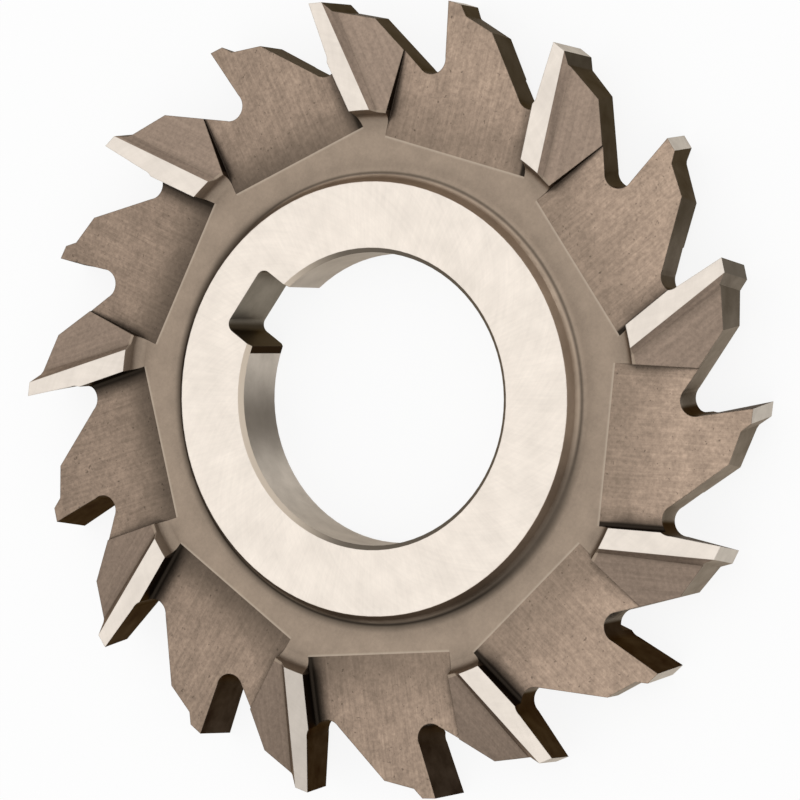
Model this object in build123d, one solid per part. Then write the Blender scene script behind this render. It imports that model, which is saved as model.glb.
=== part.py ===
from build123d import *
import math
import os

os.makedirs("parts", exist_ok=True)

# Staggered tooth side milling cutter, one solid of high speed steel.
# Millimetres. The cutter's axis is Z, the front face looks along +Z, the origin
# is on the axis at mid-width and the keyway points along +Y.
# Seen from the front the tooth tips point anticlockwise.

# Body
cutter_diameter = 69.85
cutter_width = 6.35
bore_diameter = 25.4
bore_chamfer = 0.4
hub_diameter = 37.6
recess_width = 6.2
recess_depth = 1.4
recess_wall_angle = 25.0
recess_fillet = 1.0

# Keyway
keyway_width = 6.35
keyway_depth = 2.64
keyway_corner_radius = 0.8

# Teeth, half of them cutting on the front and half on the back
teeth_per_side = 9
first_tooth_angle = -4.5
helix_slope = 0.128

# Flute, a V milled ahead of every tooth with the tooth's face as one side.
# The rake falls off from the tooth's cutting side to its far side.
flute_rake_near = 11.5
flute_rake_far = 7.0
flute_back_angle = 35.0
flute_depth = 8.05
flute_root_radius = 1.3
flute_root_overlap = 0.015

# Relief behind the cutting edge on the periphery
edge_land_width = 1.25
edge_land_drop = 0.16
edge_step_width = 0.65
edge_step_drop = 0.92
flank_angle = 21.0

# Side gullet, a flat slot milled across the web between two side teeth
gullet_turn = 26.0
gullet_skew = 2.9
gullet_heel_side = 5.53
gullet_face_side = 8.31
gullet_hub_gap = 1.6
gullet_chord_radius = 22.15
gullet_slope = 2.2
gullet_face_fillet = 0.3

# Side relief behind the ground side land, which runs in from the edge land's corner
side_land_lean = 9.72
side_drop_outer = 0.60
side_drop_inner = 0.35
side_clearance_angle = 13.1
side_step_angle = 47.0
side_heel_overlap = 0.15

# Derived sizes
tip_radius = cutter_diameter / 2
face_height = cutter_width / 2
web_height = face_height - recess_depth
tooth_pitch = 360 / teeth_per_side
bore_radius = bore_diameter / 2
hub_radius = hub_diameter / 2
recess_rim_radius = hub_radius + recess_width
keyway_floor_radius = bore_radius + keyway_depth
gullet_start = hub_radius + gullet_hub_gap

# The blank is turned oversize and ground down to the tips
grinding_allowance = 0.05

# How far a cutting tool runs past the body
clear = 1.0


def round_corner(sketch, corner, radius):
    """Round the corner of a sketch that is nearest to a point of its own plane."""
    nearest = min(sketch.vertices(), key=lambda vertex: math.dist((vertex.X, vertex.Y), corner))
    fillet(nearest, radius)


def turned_body():
    """The blank before any tooth is milled: hub, web recessed between sloped walls, and rim."""
    wall_run = recess_depth * math.tan(math.radians(recess_wall_angle))
    blank_radius = tip_radius + grinding_allowance
    with BuildSketch(Plane.XZ) as section:
        with BuildLine():
            Polyline(
                (bore_radius, 0),
                (bore_radius, face_height - bore_chamfer),
                (bore_radius + bore_chamfer, face_height),
                (hub_radius, face_height),
                (hub_radius + wall_run, web_height),
                (recess_rim_radius - wall_run, web_height),
                (recess_rim_radius, face_height),
                (blank_radius, face_height),
                (blank_radius, 0),
                close=True,
            )
        make_face()
        round_corner(section, (hub_radius + wall_run, web_height), recess_fillet)
        round_corner(section, (recess_rim_radius - wall_run, web_height), recess_fillet)
    upper = revolve(section.sketch, Axis.Z, 360)
    return upper + upper.mirror(Plane.XY)


def flute_section(height, rake_angle):
    """Walls of the space ahead of a front cutting tooth at one height, and the root's centre."""
    rake = math.radians(rake_angle)
    back = math.radians(flute_back_angle)
    opening = math.pi / 2 - back - rake
    apex = Vector(flute_depth * math.sin(rake), tip_radius - flute_depth * math.cos(rake))
    rise = tip_radius + clear - apex.Y
    along_rake = Vector(-math.sin(rake), math.cos(rake))
    along_back = Vector(-math.cos(back), math.sin(back))
    tangent = flute_root_radius / math.tan(opening / 2)
    with BuildSketch() as outline:
        with BuildLine():
            Polyline(
                apex + along_rake * tangent,
                apex + along_rake * (rise / math.cos(rake)),
                apex + along_back * (rise / math.sin(back)),
                apex + along_back * tangent,
                close=True,
            )
        make_face()
    centre = apex + (along_rake + along_back).normalized() * (flute_root_radius / math.sin(opening / 2))
    lag = math.degrees(math.atan2(helix_slope * (face_height - height), tip_radius))
    place = Pos(0, 0, height) * Rot(0, 0, -lag)
    return place * outline.sketch, (place * Pos(centre)).position


def flute():
    """Space ahead of a front cutting tooth whose tip is on +Y: twisted walls and a round root."""
    height = face_height + clear
    near_walls, near_centre = flute_section(height, flute_rake_near)
    far_walls, far_centre = flute_section(-height, flute_rake_far)
    line = far_centre - near_centre
    root_plane = Plane(origin=near_centre, z_dir=line)
    root = Solid.make_cylinder(flute_root_radius + flute_root_overlap, line.length, root_plane)
    return loft([near_walls, far_walls], ruled=True) + root


def edge_relief():
    """Land, step and flank behind the peripheral edge of a front cutting tooth."""
    land_end = (edge_land_width, tip_radius - edge_land_drop)
    step_end = (land_end[0] + edge_step_width, land_end[1] - edge_step_drop)
    flank_reach = tip_radius * math.sin(math.radians(tooth_pitch / 4))
    flank_fall = (flank_reach - step_end[0]) * math.tan(math.radians(flank_angle))
    flank_end = (flank_reach, step_end[1] - flank_fall)
    top = tip_radius + clear
    lead = clear * edge_land_drop / edge_land_width
    with BuildSketch() as outline:
        with BuildLine():
            Polyline(
                (-clear, tip_radius + lead),
                land_end,
                step_end,
                flank_end,
                (flank_end[0] + clear, top),
                (-clear, top),
                close=True,
            )
        make_face()
    start = face_height + clear
    length = cutter_width + 2 * clear
    face = Pos(-helix_slope * clear, 0, start) * outline.sketch
    return Solid.extrude(face.face(), Vector(helix_slope * length, 0, -length))


def side_gullet():
    """Slot on the front face between one front cutting tooth and the next."""
    slope = math.radians(gullet_slope)
    skew = math.radians(gullet_skew)
    run_in = gullet_chord_radius - gullet_start
    floor_start = web_height + run_in * math.tan(slope)
    heel_side = run_in * math.tan(skew) - gullet_heel_side
    face_side = run_in * math.tan(skew) + gullet_face_side
    top = face_height + 2 * clear
    with BuildSketch(Plane.XZ.offset(-gullet_start)) as section:
        with BuildLine():
            Polyline(
                (heel_side, floor_start),
                (face_side, floor_start),
                (face_side, top),
                (heel_side, top),
                close=True,
            )
        make_face()
    run = tip_radius + 2 * clear - gullet_start
    slot = Solid.extrude(section.sketch.face(), Vector(-math.tan(skew), 1, -math.tan(slope)) * run)
    face_side_edge = slot.faces().sort_by(Axis.Z)[0].edges().sort_by(Axis.X)[-1]
    return fillet(face_side_edge, gullet_face_fillet).rotate(Axis.Z, -gullet_turn)


def side_relief():
    """Stepped clearance on the front face behind a side land, tooth tip on +Y."""
    lean = math.radians(side_land_lean)
    outer = Vector(edge_land_width, tip_radius - edge_land_drop, face_height)
    inner = Vector(recess_rim_radius * math.sin(lean), recess_rim_radius * math.cos(lean), face_height)
    along = (outer - inner).normalized()
    across = along.cross(Vector(0, 0, 1))
    size = 3 * cutter_width
    step = math.radians(side_step_angle)
    step_fall = across * math.cos(step) - Vector(0, 0, math.sin(step))
    step_plane = Plane(origin=inner, x_dir=along, z_dir=along.cross(-step_fall))
    low_outer = outer - Vector(0, 0, side_drop_outer)
    low_inner = inner - Vector(0, 0, side_drop_inner)
    low_along = (low_outer - low_inner).normalized()
    fall = math.radians(side_clearance_angle)
    clearance_fall = across * math.cos(fall) - Vector(0, 0, math.sin(fall))
    normal = clearance_fall.cross(low_along).normalized()
    if normal.Z < 0:
        normal = -normal
    clearance_plane = Plane(origin=low_inner, x_dir=low_along, z_dir=normal)
    above = (Align.CENTER, Align.CENTER, Align.MIN)
    step_block = step_plane * Box(3 * size, 3 * size, size, align=above)
    clearance_block = clearance_plane * Box(3 * size, 3 * size, size, align=above)
    skew = math.radians(gullet_skew)
    heel_wall = gullet_chord_radius * math.sin(skew) - gullet_heel_side * math.cos(skew)
    heel_limit = Box(
        size,
        tip_radius + clear - gullet_start,
        cutter_width,
        align=(Align.MAX, Align.MIN, Align.MIN),
    )
    heel_limit = Pos(heel_wall + side_heel_overlap, gullet_start, 0) * heel_limit
    heel_limit = heel_limit.rotate(Axis.Z, gullet_skew - gullet_turn)
    return step_block & clearance_block & heel_limit


def both_hands(tool):
    """All places of a tool drawn for the front tooth on +Y, front teeth and back teeth."""
    turned = tool.mirror(Plane.XY)
    places = []
    for index in range(teeth_per_side):
        angle = first_tooth_angle - index * tooth_pitch
        places.append(tool.rotate(Axis.Z, angle))
        places.append(turned.rotate(Axis.Z, angle - tooth_pitch / 2))
    return places


def keyway():
    """Keyway on +Y with rounded floor corners, open to the bore."""
    with BuildSketch() as outline:
        with Locations((0, keyway_floor_radius / 2)):
            Rectangle(keyway_width, keyway_floor_radius)
        fillet(outline.vertices().group_by(Axis.Y)[-1], keyway_corner_radius)
    return extrude(outline.sketch, amount=cutter_width, both=True)


cutter = turned_body() - keyway()
for tool in (flute(), edge_relief(), side_gullet(), side_relief()):
    cutter = cutter - both_hands(tool)
cutter = cutter.solid()
cutter.label = "milling_cutter"
export_step(cutter, "parts/milling_cutter.step")
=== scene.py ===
"""Looks of a staggered tooth side milling cutter of high speed steel, lying on a pale floor.

The cutter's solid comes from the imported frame. This file gives it the finishes of its ground,
turned and milled surfaces, and sets up the floor, lamp and camera.
"""

import math
from types import SimpleNamespace

import bpy
from bpy.props import FloatProperty, FloatVectorProperty, PointerProperty
from mathutils import Matrix, Vector


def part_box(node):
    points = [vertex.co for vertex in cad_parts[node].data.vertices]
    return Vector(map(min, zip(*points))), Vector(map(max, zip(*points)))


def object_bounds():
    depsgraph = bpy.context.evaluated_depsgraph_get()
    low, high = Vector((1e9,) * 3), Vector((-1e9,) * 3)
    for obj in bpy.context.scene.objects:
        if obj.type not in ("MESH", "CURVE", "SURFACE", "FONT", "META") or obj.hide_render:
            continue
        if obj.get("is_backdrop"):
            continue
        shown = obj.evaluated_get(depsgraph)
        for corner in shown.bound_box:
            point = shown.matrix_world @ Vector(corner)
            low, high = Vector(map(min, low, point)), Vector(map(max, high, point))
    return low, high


bl_info = {
    "name": "Side Milling Cutter Looks",
    "version": (1, 0, 0),
    "blender": (4, 5, 0),
    "location": "View3D > Sidebar > Cutter",
    "description": "Finishes, stage and camera for a staggered tooth side milling cutter",
    "category": "Object",
}

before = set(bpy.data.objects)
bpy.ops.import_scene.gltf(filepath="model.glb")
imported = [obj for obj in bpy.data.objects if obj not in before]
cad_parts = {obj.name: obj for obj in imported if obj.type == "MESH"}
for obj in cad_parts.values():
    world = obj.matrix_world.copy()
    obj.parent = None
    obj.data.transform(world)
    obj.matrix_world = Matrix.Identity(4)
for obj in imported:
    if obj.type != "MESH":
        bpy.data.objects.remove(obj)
CUTTER = "milling_cutter"
MM = 0.001

# Sizes of the cutter in millimetres, as its own solid has them. The bore and keyway lie within
# HOLE_REACH of the axis, and the keyway's walls past KEYWAY_START on Y.
FACE_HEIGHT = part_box(CUTTER)[1].z / MM
BORE_RADIUS = 12.7
BORE_CHAMFER = 0.4
KEYWAY_WIDTH = 6.35
KEYWAY_START = 0.9 * BORE_RADIUS
HOLE_REACH = 15.6
HUB_RADIUS = 18.8
RECESS_RIM = 25.0
EDGE_LAND_FOOT = 34.78
TIP_RADIUS = 34.925
TEETH_PER_SIDE = 9

# Side gullets: direction of the first one on each face in degrees, their lean, the chord where
# they leave the web, their two sides, where a gullet's own span of the pitch starts, and the
# length and radius of the curve at its inner end
GULLET_ANGLE_FRONT = 59.5
GULLET_ANGLE_BACK = 39.5
GULLET_LEAN = 2.9
GULLET_CHORD = 22.15
GULLET_HEEL_SIDE = -5.53
GULLET_FACE_SIDE = 8.31
GULLET_WINDOW = -15.7
GULLET_CURVE_LENGTH = 9.0
GULLET_CURVE_RADIUS = 75.0

# Side teeth: where a tooth's own span of the pitch starts, the lean of its land, and the line
# behind the land where the relief starts
TOOTH_WINDOW = 2.0
LAND_LEAN = 2.35
LAND_HEEL = 9.56

# Radii round the foot of the hub's wall: the crease itself, and how far the wall's painted light, its
# painted shade, its round foot and the painted corner shade of the web and of the hole reach
HUB_FOOT = 19.62
HUB_FOOT_WIDTH = 0.2
WALL_LIGHT_END = HUB_FOOT - 0.15
WALL_SHADE_END = HUB_FOOT + 0.45
ROUND_FOOT = (HUB_FOOT - 0.4, HUB_FOOT + 0.35)
WEB_SHADE_START = HUB_FOOT + 0.6
HOLE_SHADE_END = HUB_RADIUS - 0.3

# Borders between finishes: how far past an edge they lie, and their half width
SLACK = 0.02
BORDER = 0.01
KEYWAY_SLACK = 0.002

# Height from which a surface counts as ground, and half the width of that border
GROUND_HEIGHT = FACE_HEIGHT - 0.012
GROUND_BLEND = 0.004

# Cosines of how squarely a surface faces along the axis, outward, ahead with the teeth, or
# along X in the keyway, where one finish gives way to another
GULLET_CORNER_LEVEL = 0.15
STEP_LEVEL = 0.5
GULLET_FLOOR_LEVEL = 0.6
EDGE_LINE_LEVEL = 0.7
RELIEF_LEVEL = 0.8
FLAT_LEVEL = 0.985
TOOTH_FACE_AHEAD = 0.4
FLANK_OUTWARD = 0.88
EDGE_LAND_OUTWARD = 0.9
KEYWAY_WALL_SIDEWAYS = 0.4

# Narrow bands: the burr and its painted highlight on both sides of the gullet's chord, the round corner
# at the foot of the tooth's face, and the lip of the bore beside the keyway
BURR_HIGHLIGHT_WIDTH = 0.16
BURR_HIGHLIGHT_OVERHANG = 0.06
FACE_CORNER = 0.45
BORE_LIP = 0.65

# Fading bands: where each starts, and where it is full
HEEL_SHADE = (LAND_HEEL + 1.0, LAND_HEEL + 0.2)
GULLET_END_TINT_AND_SHADE = (GULLET_CHORD + 6.0, GULLET_CHORD)
GULLET_END_SHADOW = (GULLET_CHORD + 3.5, GULLET_CHORD - 0.5)
FACE_FOOT_SHADOW = (GULLET_FACE_SIDE - 1.8, GULLET_FACE_SIDE - 0.2)

# The heat tint and scale differ along these two directions across the cutter, and so do painted light
# and shade
TOWARDS_THIN_SCALE_AND_PAINTED_LIGHT = (-0.811, -0.585, 0.0)
TOWARDS_PALE_TINT_AND_PAINTED_LIGHT = (0.585, -0.811, 0.0)

# Where a finish starts and where it is full, in millimetres towards thin scale and painted light
THIN_LIT_FLANKS = (-24.0, 22.0)
THIN_LIT_FLUTE_BACKS = (-16.0, -2.0)

# The same towards pale tint and painted light
SHADOWED_GULLET_ENDS = (8.0, -16.0)
SHADOWED_FACE_FEET = (30.0, -5.0)
DARK_CHAMFER = (-9.0, -2.0)

# The same along X, round the hub's wall
CREASE_AHEAD = (2.0, 9.0)
CREASE_BEHIND = (-2.0, -9.0)
WALL_SHADE = (17.0, -1.0)
WALL_DEEP_SHADE = (3.0, -9.0)
FOOT_SHADE_AHEAD = (11.0, 3.0)
FOOT_SHADE_BEHIND = (-15.0, -7.0)

# Stained places, a darker one and one with painted shade: the bearings between which they lie, in
# degrees
DARKER_EDGE_LAND = (-50.0, -20.0)
SHADED_SIDE_LAND = (-175.0, -140.0)
STAINED_BORE = (121.0, 147.0)

# Share of open sky where painted corner shade starts and is full, and how far the rounded normal turns
# from the flat one at an edge, as a cosine
CORNER_SKY = (1.0, 0.6)
EDGE_TURN = 0.9

# Steel: width of the soft edges, depth of the marks, and how dull each surface is. Scaled steel
# stays dull where it is seen nearly edge on.
EDGE_ROUNDING = 0.12 * MM
MARK_DEPTH = 0.008 * MM
MARK_STRENGTH = 0.25
GROUND_ROUGHNESS = 0.34
SCALED_ROUGHNESS = 0.45
EDGE_TINT = "#B8ADA0"

# Second run of the grinding wheel over the hub faces, crossing the first
CROSSING_ANGLE = math.radians(55.0)

# How far the marks move on from one gullet or tooth to the next, for each radian
GULLET_MARK_SHIFT = 11.0
LAND_MARK_SHIFT = 17.0

# Noise stays between these two nearly everywhere, and is drawn out to 0 and 1. A pit is where
# it reaches the upper one.
NOISE_LOW = 0.3
NOISE_HIGH = 0.7
PIT_LEVEL = 1.0

# Stage: the gap under the cutter, how much of the floor is plain white and keeps no shadow, the
# way to the lamp in the picture, the film's width and how near the camera sees
FLOOR_GAP = 0.02 * MM
WHITE = (1.0, 1.0, 1.0, 1.0)
FLOOR_WHITENESS = 0.87
KEY_DIRECTION = (-0.17, 0.14, 0.97)
FILM_WIDTH = 36.0
NEAREST_SEEN = 10 * MM

# Place of the picture's middle from the middle of the bore: to the right, and upwards
PICTURE_MIDDLE = (1.187 * MM, -0.119 * MM)


def srgb(code):
    """Linear colour of an sRGB hex code such as #C8B8A0."""
    levels = [int(code[place : place + 2], 16) / 255 for place in (1, 3, 5)]
    return [level / 12.92 if level <= 0.04045 else ((level + 0.055) / 1.055) ** 2.4 for level in levels]


def rgba(tint):
    """A colour with full alpha."""
    return (tint[0], tint[1], tint[2], 1.0)


def add(tree, kind, inputs, output=0, **settings):
    """Add a shader node, set its properties, set or link its inputs, and return one output if any."""
    node = tree.nodes.new("ShaderNode" + kind)
    for name, value in settings.items():
        setattr(node, name, value)
    for name, value in inputs.items():
        if isinstance(value, bpy.types.NodeSocket):
            tree.links.new(value, node.inputs[name])
        else:
            node.inputs[name].default_value = value
    return node.outputs[output] if node.outputs else None


def over(measure, edge, blend=BORDER):
    """Limit of a finish that shows where a measure is over an edge: start and full value."""
    return measure, edge - blend, edge + blend


def under(measure, edge, blend=BORDER):
    """Limit of a finish that shows where a measure is under an edge: start and full value."""
    return measure, edge + blend, edge - blend


def sector(at, bearings, blend=0.05):
    """Limits of a finish that shows between two bearings in degrees, with a blend in radians."""
    first, last = bearings
    return over(at.bearing, math.radians(first), blend), under(at.bearing, math.radians(last), blend)


def cover(tree, *limits, most=1.0):
    """How much of a finish shows: `most` where every measure is past its limit, none elsewhere."""
    shown = most
    for measure, start, full in limits:
        span = {"Value": measure, "From Min": start, "From Max": full}
        passed = add(tree, "MapRange", span, interpolation_type="SMOOTHSTEP")
        shown = add(tree, "Math", {0: shown, 1: passed}, operation="MULTIPLY")
    return shown


def patterned(tree, tint, *patterns):
    """A finish's colour made darker and lighter by its patterns, each between two tones."""
    for pattern, dark, light in patterns:
        tone = add(tree, "MapRange", {"Value": pattern, "To Min": dark, "To Max": light})
        tint = add(tree, "VectorMath", {0: tint, 3: tone}, operation="SCALE")
    return tint


def tooth_pitch_place(tree, at, window, lean, chord):
    """Place in one tooth pitch: across and along a line that leans, and the pitch's own angle."""
    behind = add(tree, "Math", {0: at.first_gullet, 1: at.bearing}, operation="SUBTRACT")
    start = math.radians(window)
    pitch = 2 * math.pi / TEETH_PER_SIDE
    local = add(tree, "Math", {0: behind, 1: start + pitch, 2: start}, operation="WRAP")
    turned = add(tree, "Math", {0: behind, 1: local}, operation="SUBTRACT")
    sine = add(tree, "Math", {0: local}, operation="SINE")
    cosine = add(tree, "Math", {0: local}, operation="COSINE")
    along = add(tree, "Math", {0: at.radius, 1: cosine}, operation="MULTIPLY")
    offset = add(tree, "Math", {0: at.radius, 1: sine}, operation="MULTIPLY")
    slope = math.tan(math.radians(lean))
    past = add(tree, "Math", {0: along, 1: chord}, operation="SUBTRACT")
    across = add(tree, "Math", {0: past, 1: slope, 2: offset}, operation="MULTIPLY_ADD")
    return across, along, turned


def cutter_measures(tree):
    """Where a point lies on the cutter, in millimetres and radians, and which way it faces."""
    at = SimpleNamespace()
    metres = add(tree, "TexCoord", {}, output="Object")
    at.place = add(tree, "VectorMath", {0: metres, 3: 1 / MM}, operation="SCALE")
    at.x, at.y, at.z = add(tree, "SeparateXYZ", {0: at.place}).node.outputs
    flat_place = add(tree, "CombineXYZ", {0: at.x, 1: at.y, 2: 0.0})
    at.radius = add(tree, "VectorMath", {0: flat_place}, output="Value", operation="LENGTH")
    at.bearing = add(tree, "Math", {0: at.y, 1: at.x}, operation="ARCTAN2")
    at.height = add(tree, "Math", {0: at.z}, operation="ABSOLUTE")
    at.side = add(tree, "Math", {0: at.x}, operation="ABSOLUTE")
    thin = {0: at.place, 1: TOWARDS_THIN_SCALE_AND_PAINTED_LIGHT}
    at.thin_scale = add(tree, "VectorMath", thin, output="Value", operation="DOT_PRODUCT")
    pale = {0: at.place, 1: TOWARDS_PALE_TINT_AND_PAINTED_LIGHT}
    at.pale_tint = add(tree, "VectorMath", pale, output="Value", operation="DOT_PRODUCT")

    outward = add(tree, "VectorMath", {0: flat_place}, operation="NORMALIZE")
    ahead = add(tree, "VectorMath", {0: (0.0, 0.0, 1.0), 1: outward}, operation="CROSS_PRODUCT")
    at.normal = add(tree, "NewGeometry", {}, output="Normal")
    normal_x, _, normal_z = add(tree, "SeparateXYZ", {0: at.normal}).node.outputs
    at.level = add(tree, "Math", {0: normal_z}, operation="ABSOLUTE")
    at.sideways = add(tree, "Math", {0: normal_x}, operation="ABSOLUTE")
    facing = {"output": "Value", "operation": "DOT_PRODUCT"}
    at.facing_out = add(tree, "VectorMath", {0: at.normal, 1: outward}, **facing)
    at.facing_ahead = add(tree, "VectorMath", {0: at.normal, 1: ahead}, **facing)

    front = add(tree, "Math", {0: at.z, 1: 0.0}, operation="GREATER_THAN")
    firsts = {"To Min": math.radians(GULLET_ANGLE_BACK), "To Max": math.radians(GULLET_ANGLE_FRONT)}
    at.first_gullet = add(tree, "MapRange", {"Value": front, **firsts})
    at.across, at.along, gullet_turn = tooth_pitch_place(
        tree, at, GULLET_WINDOW, GULLET_LEAN, GULLET_CHORD
    )
    at.land_across, at.land_along, land_turn = tooth_pitch_place(
        tree, at, TOOTH_WINDOW, LAND_LEAN, TIP_RADIUS
    )
    # Each gullet and each tooth has its own part of the marks
    gullet_turned = {0: gullet_turn, 1: GULLET_MARK_SHIFT, 2: at.z}
    gullet_shift = add(tree, "Math", gullet_turned, operation="MULTIPLY_ADD")
    at.gullet_place = add(tree, "CombineXYZ", {0: at.across, 1: at.along, 2: gullet_shift})
    land_turned = {0: land_turn, 1: LAND_MARK_SHIFT, 2: at.z}
    land_shift = add(tree, "Math", land_turned, operation="MULTIPLY_ADD")
    at.land_place = add(tree, "CombineXYZ", {0: at.land_across, 1: at.land_along, 2: land_shift})
    ring = add(tree, "Math", {0: at.bearing, 1: HUB_RADIUS}, operation="MULTIPLY")
    at.ring_place = add(tree, "CombineXYZ", {0: ring, 1: at.radius, 2: at.z})
    return at


def gullet_limits(at):
    """Limits of the gullet floors, on both faces."""
    return (
        over(at.across, GULLET_HEEL_SIDE - SLACK),
        under(at.across, GULLET_FACE_SIDE + SLACK),
        over(at.along, GULLET_CHORD, blend=SLACK),
        over(at.level, GULLET_FLOOR_LEVEL, blend=0.1),
    )


def cutter_patterns(tree, at):
    """Patterns of the cutter's finishes, from 0 to 1.

    Each has the place that it follows, the size of its marks in millimetres along the axes of
    that place, and the detail and roughness of its noise.
    """
    crossing = {"Vector": at.ring_place, "Angle": CROSSING_ANGLE}
    slanted = add(tree, "VectorRotate", crossing, rotation_type="Z_AXIS")
    marks = {
        # Heat tint in soft patches
        "patches": (at.place, (2.0, 2.0, 2.0), 4.0, 0.6),
        # Grain of scaled steel, drawn coarser than the real one, which is too fine to show
        "grain": (at.place, (0.36, 0.36, 0.36), 3.0, 0.7),
        # Pits in the gullet floors
        "pits": (at.place, (0.4, 0.4, 0.4), 2.0, 0.6),
        # Milling marks, some 4 mm long, drawn along the gullet
        "strokes": (at.gullet_place, (0.25, 4.0, 1.0), 3.0, 0.6),
        # Grinding marks of the relief, drawn along the side land
        "streaks": (at.land_place, (0.4, 9.0, 1.0), 3.0, 0.6),
        # Grinding scores of the hub faces and lands, across the ring and slanted over it
        "scores": (at.ring_place, (0.3, 3.0, 1.0), 4.0, 0.6),
        "crossing": (slanted, (0.3, 4.0, 1.0), 4.0, 0.6),
        # Clouding of ground steel
        "mottle": (at.place, (2.5, 2.5, 2.5), 5.0, 0.6),
    }
    drawn = SimpleNamespace()
    for name, (place, sizes, detail, roughness) in marks.items():
        steps = tuple(1 / size for size in sizes)
        scaled = add(tree, "VectorMath", {0: place, 1: steps}, operation="MULTIPLY")
        settings = {"Vector": scaled, "Scale": 1.0, "Detail": detail, "Roughness": roughness}
        noise = add(tree, "TexNoise", settings)
        spread = {"Value": noise, "From Min": NOISE_LOW, "From Max": NOISE_HIGH}
        setattr(drawn, name, add(tree, "MapRange", spread, clamp=False))
    # Paler tint and thinner scale towards one side of the cutter, with painted light and shade changing
    # the same way
    for name, measure in (("paler", at.pale_tint), ("thinner", at.thin_scale)):
        reach = {"Value": measure, "From Min": -TIP_RADIUS, "From Max": TIP_RADIUS}
        setattr(drawn, name, add(tree, "MapRange", reach))
    return drawn


class CutterFinish(bpy.types.PropertyGroup):
    """Colours of the cutter's finishes and the reach of its painted corner shade"""

    ground: FloatVectorProperty(
        name="Ground steel",
        description="Hub faces and side lands, straight from the grinding wheel",
        subtype="COLOR",
        default=srgb("#E3D9CE"),
    )
    edge_land: FloatVectorProperty(
        name="Edge lands",
        description="Ground lands behind the cutting edges on the periphery",
        subtype="COLOR",
        default=srgb("#D6CFC5"),
    )
    web: FloatVectorProperty(
        name="Web",
        description="Turned web and its walls, tinted by heat treatment",
        subtype="COLOR",
        default=srgb("#988878"),
    )
    gullet: FloatVectorProperty(
        name="Gullet floors",
        description="Milled floors of the side gullets, tinted by heat treatment",
        subtype="COLOR",
        default=srgb("#A08C7B"),
    )
    relief: FloatVectorProperty(
        name="Side relief",
        description="Clearance ground behind the side lands",
        subtype="COLOR",
        default=srgb("#8C7B6D"),
    )
    relief_step: FloatVectorProperty(
        name="Relief step",
        description="Step between a side land and its clearance",
        subtype="COLOR",
        default=srgb("#6E6154"),
    )
    # Dark heat scale of the walls, partly painted shade
    flank: FloatVectorProperty(
        name="Tooth backs",
        description="Flanks and flute backs where the heat scale is thick",
        subtype="COLOR",
        default=srgb("#4B453D"),
    )
    # Tooth backs on one side of the cutter, lighter from thinner scale and from painted light
    flank_thin_and_lit: FloatVectorProperty(
        name="Tooth backs, thin scale",
        description="Flanks and flute backs on the side of the cutter where the scale is thin",
        subtype="COLOR",
        default=srgb("#A0968A"),
    )
    # The darkest heat scale, partly painted shade on the tooth faces
    rake: FloatVectorProperty(
        name="Tooth faces",
        description="Rake faces and gullet walls, the darkest scale",
        subtype="COLOR",
        default=srgb("#362E28"),
    )
    bore: FloatVectorProperty(
        name="Bore wall",
        description="Honed wall of the bore",
        subtype="COLOR",
        default=srgb("#C6BDB2"),
    )
    chamfer: FloatVectorProperty(
        name="Bore chamfer",
        description="Turned chamfer at the mouth of the bore",
        subtype="COLOR",
        default=srgb("#CDBFAE"),
    )
    keyway: FloatVectorProperty(
        name="Keyway",
        description="Broached walls of the keyway",
        subtype="COLOR",
        default=srgb("#8E877C"),
    )
    # Dark colour of pits and scale, also used as painted shade in corners and creases, on the hub's
    # wall and at the foot of the tooth's face
    grime_and_shade: FloatVectorProperty(
        name="Corner grime",
        description="Heat scale and oil left in the inner corners",
        subtype="COLOR",
        default=srgb("#2C2620"),
    )
    crease_reach: FloatProperty(
        name="Crease reach",
        description="How far the dark of an inner corner spreads",
        default=2.2 * MM,
        min=0.0,
        unit="LENGTH",
    )


class StageSettings(bpy.types.PropertyGroup):
    """Floor, light and camera"""

    floor_size: FloatProperty(
        name="Floor size",
        description="Side of the square floor",
        default=1.6,
        min=0.2,
        unit="LENGTH",
    )
    floor_colour: FloatVectorProperty(
        name="Floor colour",
        description="Plain pale floor",
        subtype="COLOR",
        default=srgb("#FAFAFA"),
    )
    world_level: FloatProperty(
        name="World level",
        description="Brightness of the even light from all round",
        default=0.85,
        min=0.0,
    )
    key_level: FloatProperty(
        name="Key level",
        description="Brightness of the large soft lamp at the upper left",
        default=0.2,
        min=0.0,
    )
    key_size: FloatProperty(
        name="Key size",
        description="Side of the large soft lamp",
        default=1.1,
        min=0.05,
        unit="LENGTH",
    )
    key_distance: FloatProperty(
        name="Key distance",
        description="Distance of the large soft lamp from the cutter",
        default=0.8,
        min=0.1,
        unit="LENGTH",
    )
    camera_distance: FloatProperty(
        name="Camera distance",
        description="Distance of the camera from the middle of the bore",
        default=343.2 * MM,
        min=0.05,
        unit="LENGTH",
    )
    camera_yaw: FloatProperty(
        name="Camera yaw",
        description="Turn of the camera away from the cutter's axis, to the right",
        default=math.radians(27.28),
        subtype="ANGLE",
    )
    camera_pitch: FloatProperty(
        name="Camera pitch",
        description="Turn of the camera away from the cutter's axis, upwards",
        default=math.radians(-0.66),
        subtype="ANGLE",
    )
    cutter_turn: FloatProperty(
        name="Cutter turn",
        description="Turn of the keyway from upright in the picture",
        default=math.radians(54.22),
        subtype="ANGLE",
    )
    camera_lens: FloatProperty(
        name="Camera lens",
        description="Focal length in millimetres on a 36 mm wide film",
        default=177.16,
        min=10.0,
    )


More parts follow.
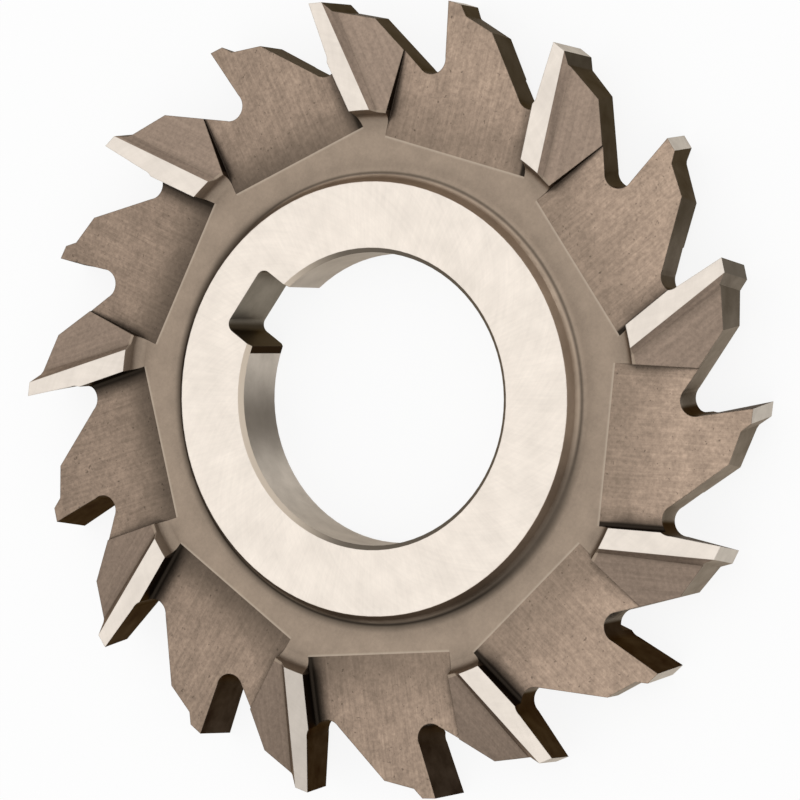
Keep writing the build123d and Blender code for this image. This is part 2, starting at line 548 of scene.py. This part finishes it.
def tooth_finishes(tree, finish, at, drawn):
    """Finishes of the teeth and web, from the walls up: a colour, the most of it, and its limits."""
    thin_lit_tint = patterned(tree, finish.flank_thin_and_lit, (drawn.patches, 0.8, 1.2))
    rake_tint = patterned(tree, finish.rake, (drawn.patches, 0.6, 1.5))
    # Tone of the relief across the cutter: partly scale, partly painted light and shade
    relief_tint = patterned(
        tree,
        finish.relief,
        (drawn.thinner, 1.2, 0.8),
        (drawn.streaks, 0.88, 1.12),
        (drawn.grain, 0.85, 1.15),
    )
    step_tint = patterned(tree, relief_tint, (drawn.streaks, 0.85, 1.05))
    web_tint = patterned(tree, finish.web, (drawn.patches, 0.92, 1.08), (drawn.grain, 0.94, 1.06))
    wall_lit_tint = patterned(tree, finish.web, (drawn.patches, 1.3, 1.6))
    # Gullet floors paler towards one side: partly heat tint, partly painted light
    gullet_tint = patterned(
        tree,
        finish.gullet,
        (drawn.paler, 0.75, 1.12),
        (drawn.patches, 0.86, 1.14),
        (drawn.grain, 0.8, 1.2),
        (drawn.strokes, 0.86, 1.14),
    )
    edge_tint = patterned(tree, finish.edge_land, (drawn.patches, 0.88, 1.12))
    step = rgba(finish.relief_step)
    grime_and_shade = rgba(finish.grime_and_shade)

    in_recess = under(at.radius, RECESS_RIM + SLACK)
    past_recess = over(at.radius, RECESS_RIM + SLACK)
    on_flute_back = under(at.facing_out, FLANK_OUTWARD, blend=0.03)
    on_relief = (
        past_recess,
        over(at.level, RELIEF_LEVEL, blend=0.06),
        under(at.level, FLAT_LEVEL, blend=0.005),
    )
    on_burr_highlight = (
        in_recess,
        over(at.across, GULLET_HEEL_SIDE),
        under(at.across, GULLET_FACE_SIDE),
        over(at.along, GULLET_CHORD - BURR_HIGHLIGHT_WIDTH, blend=0.1),
        under(at.along, GULLET_CHORD + BURR_HIGHLIGHT_OVERHANG),
    )
    in_gullet = gullet_limits(at)
    in_shaded_face_corner = (
        over(at.across, GULLET_FACE_SIDE - FACE_CORNER, blend=0.15),
        under(at.across, GULLET_FACE_SIDE + SLACK),
        over(at.along, GULLET_CHORD, blend=SLACK),
        over(at.level, GULLET_CORNER_LEVEL, blend=0.1),
    )
    on_edge_land = (
        over(at.radius, EDGE_LAND_FOOT),
        over(at.facing_out, EDGE_LAND_OUTWARD, blend=0.02),
    )
    return (
        # Tooth backs lighter towards one side: thinner scale, and painted light
        (thin_lit_tint, 1.0, (at.thin_scale, *THIN_LIT_FLANKS)),
        # The steeper flute backs keep less scale than the flanks
        (thin_lit_tint, 0.85, on_flute_back, (at.thin_scale, *THIN_LIT_FLUTE_BACKS)),
        (rake_tint, 1.0, over(at.facing_ahead, TOOTH_FACE_AHEAD, blend=0.15)),
        (step_tint, 1.0, past_recess, over(at.level, STEP_LEVEL, blend=0.05)),
        (relief_tint, 1.0, *on_relief),
        (step, 0.65, *on_relief, (at.land_across, *HEEL_SHADE)),
        (web_tint, 1.0, in_recess),
        # Light burr of the web along the gullet's edge, its light a painted highlight
        (rgba(finish.chamfer), 0.3, *on_burr_highlight),
        # Painted light: the hub's wall is drawn lighter than the web
        (wall_lit_tint, 1.0, under(at.radius, WALL_LIGHT_END, blend=0.1)),
        (gullet_tint, 1.0, *in_gullet),
        # The gullet's inner end is darker, partly heat tint and partly painted shade, with a painted
        # shadow strongest where its tint is dark
        (step, 0.45, *in_gullet, (at.along, *GULLET_END_TINT_AND_SHADE)),
        (grime_and_shade, 0.55, *in_gullet, (at.along, *GULLET_END_SHADOW), (at.pale_tint, *SHADOWED_GULLET_ENDS)),
        (grime_and_shade, 0.5, *in_gullet, over(drawn.pits, PIT_LEVEL, blend=0.1)),
        # Painted shadow at the foot of the tooth's face, least where the tint is pale, and painted
        # shade in its round corner
        (grime_and_shade, 0.75, *in_gullet, (at.across, *FACE_FOOT_SHADOW), (at.pale_tint, *SHADOWED_FACE_FEET)),
        (grime_and_shade, 1.0, *in_shaded_face_corner),
        (edge_tint, 1.0, *on_edge_land),
        # One tooth's edge land is darker
        (rgba(finish.flank), 0.85, *on_edge_land, *sector(at, DARKER_EDGE_LAND)),
    )


def bore_finishes(tree, finish, at, drawn):
    """Finishes of the bore, its chamfer and the keyway: a colour, the most of it, and its limits."""
    bore_tint = patterned(tree, finish.bore, (drawn.mottle, 0.85, 1.1))
    keyway_tint = patterned(tree, finish.keyway, (drawn.patches, 0.85, 1.15))
    flank = rgba(finish.flank)
    on_wall = under(at.radius, BORE_RADIUS + SLACK)
    on_lip = (
        on_wall,
        over(at.x, -KEYWAY_WIDTH / 2 - BORE_LIP, blend=0.03),
        under(at.x, 0.0),
        over(at.y, 0.0, blend=0.1),
    )
    in_hole = under(at.radius, HOLE_REACH, blend=SLACK)
    on_chamfer = (
        in_hole,
        under(at.radius, BORE_RADIUS + BORE_CHAMFER + SLACK),
        over(at.height, FACE_HEIGHT - BORE_CHAMFER),
    )
    in_keyway = (
        in_hole,
        under(at.side, KEYWAY_WIDTH / 2 + KEYWAY_SLACK, blend=KEYWAY_SLACK / 2),
        over(at.y, KEYWAY_START, blend=0.1),
    )
    return (
        (bore_tint, 1.0, on_wall),
        (flank, 0.7, on_wall, *sector(at, STAINED_BORE, blend=0.2)),
        # Dark lip of the bore beside the keyway
        (rgba(finish.grime_and_shade), 1.0, *on_lip),
        (rgba(finish.chamfer), 1.0, *on_chamfer),
        (flank, 0.8, *on_chamfer, (at.pale_tint, *DARK_CHAMFER)),
        (keyway_tint, 1.0, *in_keyway),
        (flank, 1.0, *in_keyway, over(at.sideways, KEYWAY_WALL_SIDEWAYS, blend=0.35)),
    )


def ground_finishes(tree, finish, at, drawn):
    """Finishes of the hub faces and side lands: a colour, the most of it, and its limits."""
    ground_tint = patterned(
        tree,
        finish.ground,
        (drawn.mottle, 0.92, 1.04),
        (drawn.scores, 0.97, 1.03),
        (drawn.crossing, 0.97, 1.03),
    )
    flank = rgba(finish.flank)
    on_ground = over(at.height, GROUND_HEIGHT, blend=GROUND_BLEND)
    on_side_land = (on_ground, over(at.radius, RECESS_RIM - SLACK))
    on_front = over(at.z, 0.0)
    return (
        (ground_tint, 1.0, on_ground),
        # The side lands are less bright than the hub, and one of them carries painted shade
        (flank, 0.08, *on_side_land),
        (flank, 0.33, *on_side_land, on_front, *sector(at, SHADED_SIDE_LAND)),
    )


def corner_shade_finishes(tree, finish, at, rounded, open_sky):
    """Painted shade in the inner corners, the crease and on the hub's wall, and a dark hair line along
    outer edges, over all but the ground faces.
    """
    grime_and_shade = rgba(finish.grime_and_shade)
    off_ground = under(at.height, GROUND_HEIGHT, blend=GROUND_BLEND)
    in_corner = (off_ground, (open_sky, *CORNER_SKY))
    turn = {0: rounded, 1: at.normal}
    flatness = add(tree, "VectorMath", turn, output="Value", operation="DOT_PRODUCT")
    in_crease = (
        over(at.radius, HUB_FOOT - HUB_FOOT_WIDTH / 2, blend=0.12),
        under(at.radius, HUB_FOOT + HUB_FOOT_WIDTH / 2, blend=0.12),
    )
    on_hub_wall = (
        over(at.radius, HUB_RADIUS + SLACK),
        under(at.radius, WALL_SHADE_END, blend=0.4),
        off_ground,
    )
    on_round_foot = (
        over(at.radius, ROUND_FOOT[0], blend=0.15),
        under(at.radius, ROUND_FOOT[1], blend=0.4),
    )
    on_edge_line = (
        off_ground,
        under(flatness, EDGE_TURN, blend=0.08),
        over(at.radius, RECESS_RIM, blend=0.5),
        over(at.level, EDGE_LINE_LEVEL, blend=0.1),
    )
    return (
        # Painted shade in the corners of the web and of the hole, where little open sky reaches
        (grime_and_shade, 0.75, *in_corner, over(at.radius, WEB_SHADE_START, blend=0.5)),
        (grime_and_shade, 0.7, *in_corner, under(at.radius, HOLE_SHADE_END, blend=0.1)),
        # Painted shade in the crease at the foot of the hub's wall, and on the wall itself, darker
        # towards one side
        (grime_and_shade, 0.6, *in_crease, (at.x, *CREASE_AHEAD)),
        (grime_and_shade, 0.9, *in_crease, (at.x, *CREASE_BEHIND)),
        (grime_and_shade, 0.5, *on_hub_wall, (at.x, *WALL_SHADE)),
        (grime_and_shade, 0.3, *on_hub_wall, (at.x, *WALL_DEEP_SHADE)),
        # Where the crease carries painted shade, the round foot gets painted shade as dark as the
        # wall's
        (grime_and_shade, 0.5, *on_round_foot, (at.x, *FOOT_SHADE_AHEAD), (at.x, *FOOT_SHADE_BEHIND)),
        # Hair line along the outer edges of the gullets and the relief
        (grime_and_shade, 0.6, *on_edge_line),
    )


def tool_steel(finish):
    """High speed steel, hardened, with ground, turned and milled surfaces on one solid.

    Ground faces are bright and finely scored. The web and gullets keep a warm grey heat tint with a
    fine grain. The walls are dark with scale and painted shade, and the inner corners carry painted
    shade.
    """
    material = bpy.data.materials.new("Hardened high speed steel, ground and heat tinted")
    material.use_nodes = True
    tree = material.node_tree
    tree.nodes.clear()
    at = cutter_measures(tree)
    drawn = cutter_patterns(tree, at)
    rounded = add(tree, "Bevel", {"Radius": EDGE_ROUNDING}, samples=4)
    reach = {"Distance": finish.crease_reach}
    open_sky = add(tree, "AmbientOcclusion", reach, output="AO", samples=8, only_local=True)

    # Scaled steel, dark partly as painted shade, lies under all other finishes
    surface = patterned(tree, finish.flank, (drawn.patches, 0.8, 1.2))
    layers = (
        *tooth_finishes(tree, finish, at, drawn),
        *bore_finishes(tree, finish, at, drawn),
        *ground_finishes(tree, finish, at, drawn),
        *corner_shade_finishes(tree, finish, at, rounded, open_sky),
    )
    for tint, most, *limits in layers:
        shown = cover(tree, *limits, most=most)
        surface = add(tree, "Mix", {0: shown, 6: surface, 7: tint}, output=2, data_type="RGBA")

    # The gullet floor curves up a little where the milling cutter ran in
    in_gullet = cover(tree, *gullet_limits(at))
    curve_start = GULLET_CHORD + GULLET_CURVE_LENGTH
    curve = {"Value": at.along, "From Min": curve_start, "From Max": GULLET_CHORD}
    rise = add(tree, "MapRange", curve)
    rise = add(tree, "Math", {0: rise, 1: rise}, operation="MULTIPLY")
    curve_rise = GULLET_CURVE_LENGTH**2 / (2 * GULLET_CURVE_RADIUS) * MM
    curved = {"Strength": in_gullet, "Distance": curve_rise, "Height": rise, "Normal": rounded}
    curved = add(tree, "Bump", curved)
    ground = cover(tree, over(at.height, GROUND_HEIGHT, blend=GROUND_BLEND))
    marks = add(tree, "Mix", {0: ground, 2: drawn.strokes, 3: drawn.scores}, data_type="FLOAT")
    scored = {"Strength": MARK_STRENGTH, "Distance": MARK_DEPTH, "Height": marks, "Normal": curved}
    scored = add(tree, "Bump", scored)
    dullness = {0: ground, 2: SCALED_ROUGHNESS, 3: GROUND_ROUGHNESS}
    steel = {
        "Base Color": surface,
        "Metallic": 1.0,
        "Roughness": add(tree, "Mix", dullness, data_type="FLOAT"),
        "Normal": scored,
        "Specular Tint": rgba(srgb(EDGE_TINT)),
    }
    add(tree, "OutputMaterial", {"Surface": add(tree, "BsdfPrincipled", steel)})
    return material


def background_rays(tree):
    """1 for rays that show the background: seen straight, in a reflection or through glass."""
    path = add(tree, "LightPath", {}).node.outputs
    seen = add(tree, "Math", {0: path["Is Camera Ray"], 1: path["Is Glossy Ray"]}, operation="ADD")
    through = {0: seen, 1: path["Is Transmission Ray"]}
    return add(tree, "Math", through, operation="ADD", use_clamp=True)


def pale_floor(stage):
    """Matt white paper: an even white that keeps a soft shadow of the cutter."""
    material = bpy.data.materials.new("White paper, matt")
    material.use_nodes = True
    tree = material.node_tree
    tree.nodes.clear()
    paper = add(tree, "BsdfDiffuse", {"Color": rgba(stage.floor_colour)})
    white = add(tree, "Emission", {"Color": WHITE, "Strength": 1.0})
    shown = add(tree, "MixShader", {0: FLOOR_WHITENESS, 1: paper, 2: white})
    shader = add(tree, "MixShader", {0: background_rays(tree), 1: paper, 2: shown})
    add(tree, "OutputMaterial", {"Surface": shader})
    return material


class CUTTER_OT_dress(bpy.types.Operator):
    """Give the cutter its ground, turned and milled steel finishes"""

    bl_idname = "cutter.dress"
    bl_label = "Dress Cutter"

    def execute(self, context):
        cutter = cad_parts[CUTTER]
        steel = tool_steel(context.scene.cutter_finish)
        for slot in cutter.material_slots:
            slot.material = steel
        return {"FINISHED"}


class CUTTER_OT_stage(bpy.types.Operator):
    """Lay the pale floor, hang the lamp and set the camera"""

    bl_idname = "cutter.stage"
    bl_label = "Build Stage"

    def execute(self, context):
        stage = context.scene.cutter_stage
        self.lay_floor(context.scene, stage)
        self.light_world(context.scene, stage)
        picture = Matrix.Rotation(-stage.cutter_turn, 4, "Z")
        self.hang_key(context.scene, stage, picture)
        self.set_camera(context.scene, stage, picture)
        context.scene.view_settings.view_transform = "Standard"
        return {"FINISHED"}

    def lay_floor(self, scene, stage):
        """Square floor under the cutter's back face."""
        half = stage.floor_size / 2
        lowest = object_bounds()[0][2] - FLOOR_GAP
        mesh = bpy.data.meshes.new("floor")
        square = [(x * half, y * half, lowest) for x, y in ((-1, -1), (1, -1), (1, 1), (-1, 1))]
        mesh.from_pydata(square, [], [(0, 1, 2, 3)])
        mesh.materials.append(pale_floor(stage))
        floor = bpy.data.objects.new("floor", mesh)
        scene.collection.objects.link(floor)
        floor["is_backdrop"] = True

    def light_world(self, scene, stage):
        """Even light from all round, white where the camera or a reflection sees past the floor."""
        world = bpy.data.worlds.new("Studio")
        scene.world = world
        world.use_nodes = True
        tree = world.node_tree
        tree.nodes.clear()
        even = add(tree, "Background", {"Color": WHITE, "Strength": stage.world_level})
        white = add(tree, "Background", {"Color": WHITE, "Strength": 1.0})
        shader = add(tree, "MixShader", {0: background_rays(tree), 1: even, 2: white})
        add(tree, "OutputWorld", {"Surface": shader})

    def hang_key(self, scene, stage, picture):
        """Large soft lamp above and to the left of the picture."""
        lamp = bpy.data.lights.new("key", "AREA")
        lamp.shape = "SQUARE"
        lamp.size = stage.key_size
        lamp.energy = stage.key_level * math.pi * stage.key_size**2
        key = bpy.data.objects.new("key", lamp)
        direction = Vector(KEY_DIRECTION).normalized()
        place = Matrix.Translation(direction * stage.key_distance)
        aim = direction.to_track_quat("Z", "Y").to_matrix().to_4x4()
        key.matrix_world = picture @ place @ aim
        scene.collection.objects.link(key)

    def set_camera(self, scene, stage, picture):
        """Camera to the right of the cutter's axis, looking down at the hub."""
        camera = bpy.data.cameras.new("camera")
        camera.lens = stage.camera_lens
        camera.sensor_width = FILM_WIDTH
        camera.clip_start = NEAREST_SEEN
        seat = bpy.data.objects.new("camera", camera)
        turn = Vector((stage.camera_pitch, stage.camera_yaw, 0.0))
        swing = Matrix.Rotation(turn.length, 4, turn)
        offset = Matrix.Translation(Vector((*PICTURE_MIDDLE, stage.camera_distance)))
        seat.matrix_world = picture @ swing @ offset
        scene.collection.objects.link(seat)
        scene.camera = seat


class CUTTER_PT_panel(bpy.types.Panel):
    """Sidebar panel that lists the cutter's steps"""

    bl_label = "Side Milling Cutter"
    bl_space_type = "VIEW_3D"
    bl_region_type = "UI"
    bl_category = "Cutter"

    def draw(self, context):
        layout = self.layout
        layout.operator(CUTTER_OT_dress.bl_idname)
        layout.operator(CUTTER_OT_stage.bl_idname)


CLASSES = (CutterFinish, StageSettings, CUTTER_OT_dress, CUTTER_OT_stage, CUTTER_PT_panel)


def register():
    for cls in CLASSES:
        bpy.utils.register_class(cls)
    bpy.types.Scene.cutter_finish = PointerProperty(type=CutterFinish)
    bpy.types.Scene.cutter_stage = PointerProperty(type=StageSettings)


def unregister():
    del bpy.types.Scene.cutter_stage
    del bpy.types.Scene.cutter_finish
    for cls in reversed(CLASSES):
        bpy.utils.unregister_class(cls)


def main():
    register()
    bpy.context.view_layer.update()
    bpy.ops.cutter.dress()
    bpy.ops.cutter.stage()


if __name__ == "__main__":
    main()
